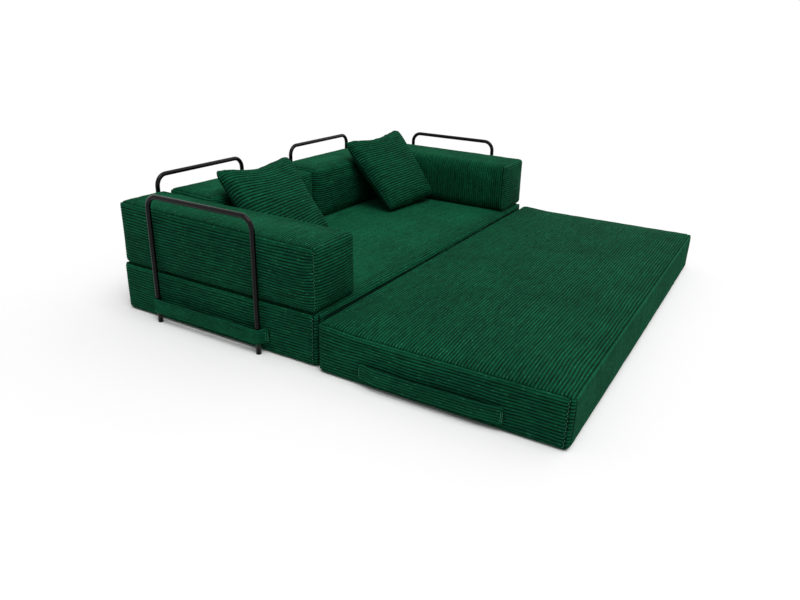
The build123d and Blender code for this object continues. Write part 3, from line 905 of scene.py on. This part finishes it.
for name, body, seed, sew, rises in (("left_arm_bolster", "left_arm", 11, "left", (-0.010, 0.010, 0)),
                                     ("right_arm_bolster", "right_arm", 12, "right", (0.002, 0.009, 0)),
                                     ("back_left_bolster", "back_left", 13, "back", (0, 0.002, 0.010)),
                                     ("back_right_bolster", "back_right", 14, "back", (0, 0.002, 0))):
    bolster(name, body, [body + "_cover", body + "_foam"], seed, sew, *rises)

# %% [markdown]
# ## The scatter pillows
# A pillow is two square sheets sewn together round the edge and filled. Blown up, the sheets need more room
# than their seam gives them, so the seam pulls in between the corners and puckers, and the corners stay out
# as soft ears. Both start as one lattice that shares its border, and are laid in the pose of the CAD pillow.
# The right pillow's top corner hangs over the right arm.

# %% Fill the pillows
pillow_half, pillow_rise, pillow_lines, pillow_fullness = 0.215, 0.073, 21, 0.42
seam_pull, corner_round, ear_reach, pushed_aside = 0.03, 0.06, 0.15, 0.95
back_face, back_top, back_round = 0.6874, 0.4766, 0.022


def pillow(name, nodes, seed, lean, turn, roll, ears):
    """One pillow, leaning back, turned and rolled by so many degrees. ears are the shifts of its four
    corners, lower left and right and upper left and right, in its own plane."""
    n = pillow_lines
    place = np.linspace(-1, 1, n)
    u, v = np.meshgrid(place, place, indexing="xy")
    full = ((1 - u ** 2) * (1 - v ** 2)) ** pillow_fullness
    flat = np.stack([u * (1 - seam_pull * (1 - v ** 2)), v * (1 - seam_pull * (1 - u ** 2))], -1)
    flat *= pillow_half
    flat *= 1 - corner_round * ((u * v) ** 8)[..., None]
    front_ids = np.arange(n * n).reshape(n, n)
    back_ids = front_ids.copy()
    back_ids[1:-1, 1:-1] = n * n + np.arange((n - 2) ** 2).reshape(n - 2, n - 2)
    front = np.concatenate([flat, full[..., None] * pillow_rise], -1).reshape(-1, 3)
    back = np.concatenate([flat, -full[..., None] * pillow_rise], -1)[1:-1, 1:-1].reshape(-1, 3)
    points = np.concatenate([front, back])
    faces = np.concatenate([grid_faces(front_ids, turned=True), grid_faces(back_ids)])
    border = np.unique(np.concatenate([front_ids[[0, -1]], front_ids[:, [0, -1]].T]))
    corners = front_ids[[0, 0, -1, -1], [0, -1, 0, -1]]
    points = filled(name, points, faces, corners, border, 4.0, 0.03, 0.016)
    points[:, 2] *= pillow_rise / np.abs(points[:, 2]).max()
    for corner, shift in zip(corners, ears):
        away = np.linalg.norm(points[:, :2] - points[corner, :2], axis=1)
        points = points + np.exp(-(away / ear_reach) ** 2)[:, None] * shift
    turned = Quaternion((0, 0, 1), math.radians(-turn))
    facing = turned @ Quaternion((1, 0, 0), math.radians(-lean)) @ Vector((0, 1, 0))
    across = Quaternion(facing, math.radians(-roll)) @ (turned @ Vector((1, 0, 0)))
    upward = across.cross(facing)
    low, high = box_of(nodes[0])
    points = (low + high) / 2 + points @ np.array([across, upward, -facing])
    cover = Cover(points, faces, seed, pitch=0.0132, pucker=0.0035, seam_wave=0.003)
    sew_panel(cover, front_ids, seam_depth=0.0005, step=0.014)
    sew_panel(cover, back_ids, seam_depth=0.0005, step=0.014)

    def resting(spots):
        """Pushes the pillow out of the bolster's front and its rounded edge, and off the base."""
        x, y, z = spots.T
        middle_y, middle_z = back_face + back_round, back_top - back_round
        dy, dz = y - middle_y, z - middle_z
        away = np.maximum(np.hypot(dy, dz), 1e-6)
        on_edge = (dy < 0) & (dz > 0) & (away < back_round)
        y = np.where(on_edge, middle_y + dy * back_round / away, y)
        z = np.where(on_edge, middle_z + dz * back_round / away, z)
        y = np.where((dz <= 0) & (y > back_face), back_face, y)
        return np.stack([x, y, np.maximum(z, low[2])], 1)

    return closed(cover, name, nodes[0].removesuffix("_cover"), nodes, resting)


pillow("left_scatter_pillow", ["left_pillow_cover", "left_pillow_fill"], seed=21, lean=41, turn=6, roll=5,
       ears=((0, 0, 0), (-0.002, 0.03, 0.01), (0.004, 0.044, 0.012), (0.040, 0.018, 0)))
right_pillow = pillow(
    "right_scatter_pillow", ["right_pillow_cover", "right_pillow_fill"], seed=22, lean=39, turn=11, roll=5,
    ears=((0.012, 0.006, 0.012), (-0.004, 0.004, 0.006), (-0.013, 0.032, 0), (0.020, 0.022, 0)))
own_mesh(right_pillow)

# %% [markdown]
# ## Bands of the same cloth
# The straps round the rails and the two carrying handles are doubled strips of the corduroy, a few ribs wide
# and some 4 mm thick. Seen from above, each follows a bent line; the strip is that line drawn out upward.
# Its ends are tabs with rounded corners. Its rims and the ends of its tabs are painted dark, a painted shade
# that outlines the band.

# %% Helpers for bands
band_thick, band_step, tip_places, tab_corner = 0.004, 0.012, (0.001, 0.003, 0.006), 0.012
band_depth, band_wave, rim_share = 0.0013, 0.0012, 0.35


def rounded(corners, reach):
    """A bent line with its corners rounded, reach metres before and after each."""
    corners = [np.array(c, float) for c in corners]
    line = [corners[0]]
    for before, corner, after in zip(corners, corners[1:], corners[2:]):
        a, b = before - corner, after - corner
        room = min(reach, np.linalg.norm(a) / 2, np.linalg.norm(b) / 2)
        start, end = corner + room * a / np.linalg.norm(a), corner + room * b / np.linalg.norm(b)
        line += [(1 - t) ** 2 * start + 2 * t * (1 - t) * corner + t ** 2 * end for t in np.linspace(0, 1, 7)]
    return np.array(line + [corners[-1]])


def divided(line, step):
    """The same line with more points on its long runs."""
    out = [line[0]]
    for a, b in zip(line[:-1], line[1:]):
        count = max(1, math.ceil(np.linalg.norm(b - a) / step))
        out += [a + (b - a) * n / count for n in range(1, count + 1)]
    return np.array(out)


def ribbon(name, body, node, line, low, high, seed, ribs, depth=band_depth, dark_share=1.0):
    """A doubled strip of cloth that stands on a bent line, from one height to another."""
    line = divided(line, band_step)
    ends = [[line[a] + (line[b] - line[a]) * t / band_step for t in tip_places]
            for a, b in ((0, 1), (-1, -2))]
    line = np.concatenate([line[:1], ends[0], line[1:-1], ends[1][::-1], line[-1:]])
    run = np.gradient(line, axis=0)
    side = unit_vectors(np.stack([run[:, 1], -run[:, 0]], 1))
    at = lengths_along(line)
    shares = (np.arange(ribs)[:, None] + rib_shares).ravel()[1:] / ribs
    shares = np.concatenate([[0, 0.012], shares, [0.988, 1]])
    random = np.random.default_rng(seed)
    knots = np.linspace(0, at[-1], max(3, round(at[-1] / 0.09)))
    sag = curve_shares(knots, at) @ random.uniform(-band_wave, band_wave, len(knots))
    # dark_share scales both the depth of the grooves and their painted shade.
    groove = np.abs(2 * ((shares * ribs) % 1) - 1) ** groove_power * dark_share
    # Painted shade: the band's two rims are dark.
    groove[[0, -1]] = 0.9
    at_end = np.minimum(at, at[-1] - at)
    corner = np.clip(1 - at_end / tab_corner, 0, 1)
    corner = tab_corner * (1 - np.sqrt(1 - corner ** 2))
    heights = low + corner + (high - low - 2 * corner) * shares[:, None] + sag
    on_rim = ((shares == 0) | (shares == 1))[:, None]
    out = band_thick / 2 * np.where(on_rim, rim_share, 1)
    sides, places = [], []
    for face, dip in ((1, np.where(on_rim, 0, depth * groove[:, None])), (-1, 0)):
        plan = line + (face * (out - dip))[..., None] * side
        sides.append(np.concatenate([plan, heights[..., None]], -1))
        places.append(np.stack([at + 0 * heights, shares[:, None] * (high - low) + 0 * heights,
                                face + 0 * heights], -1).reshape(-1, 3))
    # Painted shade at the tab ends. The band's other side is a little darker all over.
    shade = np.maximum(groove[:, None], 0.9 * np.exp(-(at_end / 0.003) ** 2)).ravel()
    spots, faces = two_sided(*sides)
    piece = shaped(name, spots, faces, green_cord, np.concatenate([shade, 0 * shade + 0.2]),
                   np.concatenate(places))
    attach(piece, body)
    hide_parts(node)


def tab_stitches(name, body, lines, low, high):
    """Rows of stitches up a band's tabs: each line is a place in plan and the way off the cloth."""
    heights = np.linspace(low, high, 8)
    stitches(name, body, [(np.array([(*spot, z) for z in heights]), np.array([(*off, 0.0)] * 8))
                          for spot, off in lines], slant=0.0)


print("band helpers ready")

# %% [markdown]
# ## Straps and handles
# A strap stands out from the base's wall round the two legs of a rail, and is sewn down at its tabs with two
# rows of stitches each. A handle bows out from the mattress, most of all towards its rear. The photograph
# shows both a little higher than the CAD bands, so they are lifted, the straps only as far as the feet of a
# lifted rail still clear them.

# %% Sew the straps and handles
tab_length, strap_slope, strap_lift, tab_margin = 0.024, 0.004, 0.014, 0.006
rails = "left", "right", "back_left", "back_right"
half_thick = band_thick / 2
for n, side in enumerate(rails):
    low, high = box_of(side + "_rail_strap")
    k = 0 if "back" in side else 1
    wall, away = (high[0], low[0]) if side == "left" else (low[1 - k], high[1 - k])
    out = 1 if away > wall else -1
    inner, outer = wall + out * half_thick, away - out * half_thick
    bottom, top = low[2] + strap_lift, high[2] + strap_lift
    a, b = low[k], high[k]
    plan = [(a, inner), (a + tab_length, inner), (a + tab_length + strap_slope, outer),
            (b - tab_length - strap_slope, outer), (b - tab_length, inner), (b, inner)]
    if k == 1:
        plan = [(y, x) for x, y in plan]
    if side != "right":
        plan = plan[::-1]
    ribbon(side + "_rail_band", "base", side + "_rail_strap", rounded(plan, 0.006), bottom, top,
           seed=31 + n, ribs=8, depth=0.0008, dark_share=0.6)
    face = wall + out * band_thick
    rows = [((face, y) if k == 1 else (y, face), (out, 0) if k == 1 else (0, out))
            for y in (a + 0.005, a + 0.017, b - 0.017, b - 0.005)]
    tab_stitches(side + "_strap_stitches", "base", rows, bottom + tab_margin, top - tab_margin)

handle_rear_rise, handle_front_fall, handle_front_bow, handle_proud = 0.040, 0.070, 0.010, 0.004
handle_lift, handle_slack = 0.011, 0.013
for n, side in enumerate(("left", "right")):
    low, high = box_of(side + "_handle")
    wall, away = (high[0], low[0]) if side == "left" else (low[0], high[0])
    out = 1 if away > wall else -1
    inner, outer = wall + out * (half_thick + handle_proud), away - out * (half_thick + handle_slack)
    bottom, top = low[2] + handle_lift, high[2] + handle_lift
    rear, front = high[1] - tab_length, low[1] + tab_length
    plan = [(inner, high[1]), (inner, rear), (outer, rear - handle_rear_rise),
            (inner + out * handle_front_bow, front + handle_front_fall), (inner, front), (inner, low[1])]
    ribbon(side + "_carrying_handle", "extension", side + "_handle", rounded(plan, 0.03), bottom, top,
           seed=41 + n, ribs=6, dark_share=0.85)
    face = inner + out * half_thick
    tab_stitches(side + "_handle_stitches", "extension",
                 [((face, y), (out, 0)) for y in (low[1] + 0.004, low[1] + 0.010, high[1] - 0.005)],
                 bottom + tab_margin, top - tab_margin)

# %% [markdown]
# ## The fold
# A narrow strip of cover cloth joins the two mattresses along the fold. It sags between them.

# %% Hang the strip in the fold
low, high = box_of("fold_strip")
strip_thick, strip_lines, strip_rows, strip_width, crease = 0.002, 9, 96, 0.025, 0.0004
arc = np.linspace(low[1], high[1], strip_lines)
sag = (high[2] - low[2] - strip_thick) * (1 - ((arc - arc.mean()) / (arc[-1] - arc[0]) * 2) ** 2)
x, y = np.meshgrid(np.linspace(low[0], high[0], strip_rows), arc, indexing="ij")
creased = crease * np.sin(x * 63 + y * 300)
creased[:, [0, -1]] = 0
spots, faces = two_sided(*(np.stack([x, y, high[2] - sag - down + creased], -1)
                           for down in (0, strip_thick)))
# The strip is painted almost black green: painted shade of the narrow crevice between the two mattresses,
# with a fine weave in it.
fold_shade = Finish("fold_painted_shade", {"Roughness": 0.9, "Specular IOR Level": 0.02})
thread = fold_shade.noise(fold_shade.stretched(fold_shade.place(), (900, 300, 300)), 1.0, 2.0)
fold_shade.set(fold_shade.shader, {
    "Base Color": fold_shade.mix(fold_shade.smooth(thread, 0.35, 0.65), colour(1, 12, 8), colour(4, 28, 19)),
    "Normal": fold_shade.bump(thread, 0.3, 0.0005)})
fold_cloth = shaped("fold_cloth", spots, faces, fold_shade.material)
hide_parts("fold_strip")
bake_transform(fold_cloth)

# %% [markdown]
# ## The rails
# Each rail is steel tube, 20 mm thick, bent twice and coated black. The coating is satin: a broad soft
# highlight along the tube, and under it the slight orange-peel texture of baked powder. A tube is made as
# rings along a bent line, closer together in the bends. The rubber feet are CAD solids, which only get a
# material.

# %% Bend and coat the rails
black_coat = Finish("black_powder_coat", {"Specular IOR Level": 0.14})
peel = black_coat.noise(black_coat.place(), 900.0, 1.0)
dust = black_coat.noise(black_coat.place(), 22.0, 3.0)
black_coat.set(black_coat.shader, {
    "Base Color": black_coat.mix(dust, colour(2, 2, 2), colour(8, 8, 8)),
    "Roughness": black_coat.smooth(dust, 0.2, 0.9) * 0.12 + 0.12,
    "Normal": black_coat.bump(peel, 0.12, 0.0003)})

tube_radius, bend_radius, leg_rings, bend_rings, tube_sides = 0.010, 0.05, 8, 12, 28


def rail(name, node):
    """A bent tube in place of its CAD node, which has the same name as its body."""
    low, high = box_of(node)
    k = 0 if high[0] - low[0] > high[1] - low[1] else 1
    a, b, top = low[k] + tube_radius, high[k] - tube_radius, high[2] - tube_radius
    bend_top, quarter = top - bend_radius, np.linspace(0, 90, bend_rings + 1)
    line = [(a, z) for z in np.linspace(low[2], bend_top, leg_rings)[:-1]]
    for start, centre in ((180, a + bend_radius), (90, b - bend_radius)):
        line += [(centre + bend_radius * math.cos(math.radians(start - turn)),
                  bend_top + bend_radius * math.sin(math.radians(start - turn))) for turn in quarter]
    line += [(b, z) for z in np.linspace(bend_top, low[2], leg_rings)[1:]]
    line = np.array(line)
    turned = np.linspace(0, 2 * math.pi, tube_sides, endpoint=False)
    sideways, outward = tube_radius * np.cos(turned), tube_radius * np.sin(turned)
    middle = (low[1 - k] + high[1 - k]) / 2
    rings = []
    for (p, z), (run_p, run_z) in zip(line, unit_vectors(np.gradient(line, axis=0))):
        spot = np.stack([p - run_z * outward, middle + sideways], 1)
        rings.append(np.column_stack([spot[:, ::-1] if k == 1 else spot, z + run_p * outward]))
    n = np.arange(len(rings) * tube_sides).reshape(-1, tube_sides)
    faces = grid_faces(np.hstack([n, n[:, :1]]), turned=True).tolist() + [n[0].tolist(), n[-1].tolist()]
    piece = shaped(name, np.concatenate(rings), faces, black_coat.material)
    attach(piece, node)
    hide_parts(node)


rubber = Finish("black_rubber", {"Specular IOR Level": 0.3})
scuff = rubber.noise(rubber.place(), 160.0, 3.0)
rubber.set(rubber.shader, {"Base Color": rubber.mix(scuff, colour(12, 12, 12), colour(30, 30, 29)),
                           "Roughness": rubber.smooth(scuff, 0.2, 0.8) * 0.2 + 0.6})
for side in rails:
    rail(side + "_bent_rail", side + "_rail")
    plug = bpy.data.objects[side + "_rail_feet"]
    for slot in plug.material_slots:
        slot.material = rubber.material
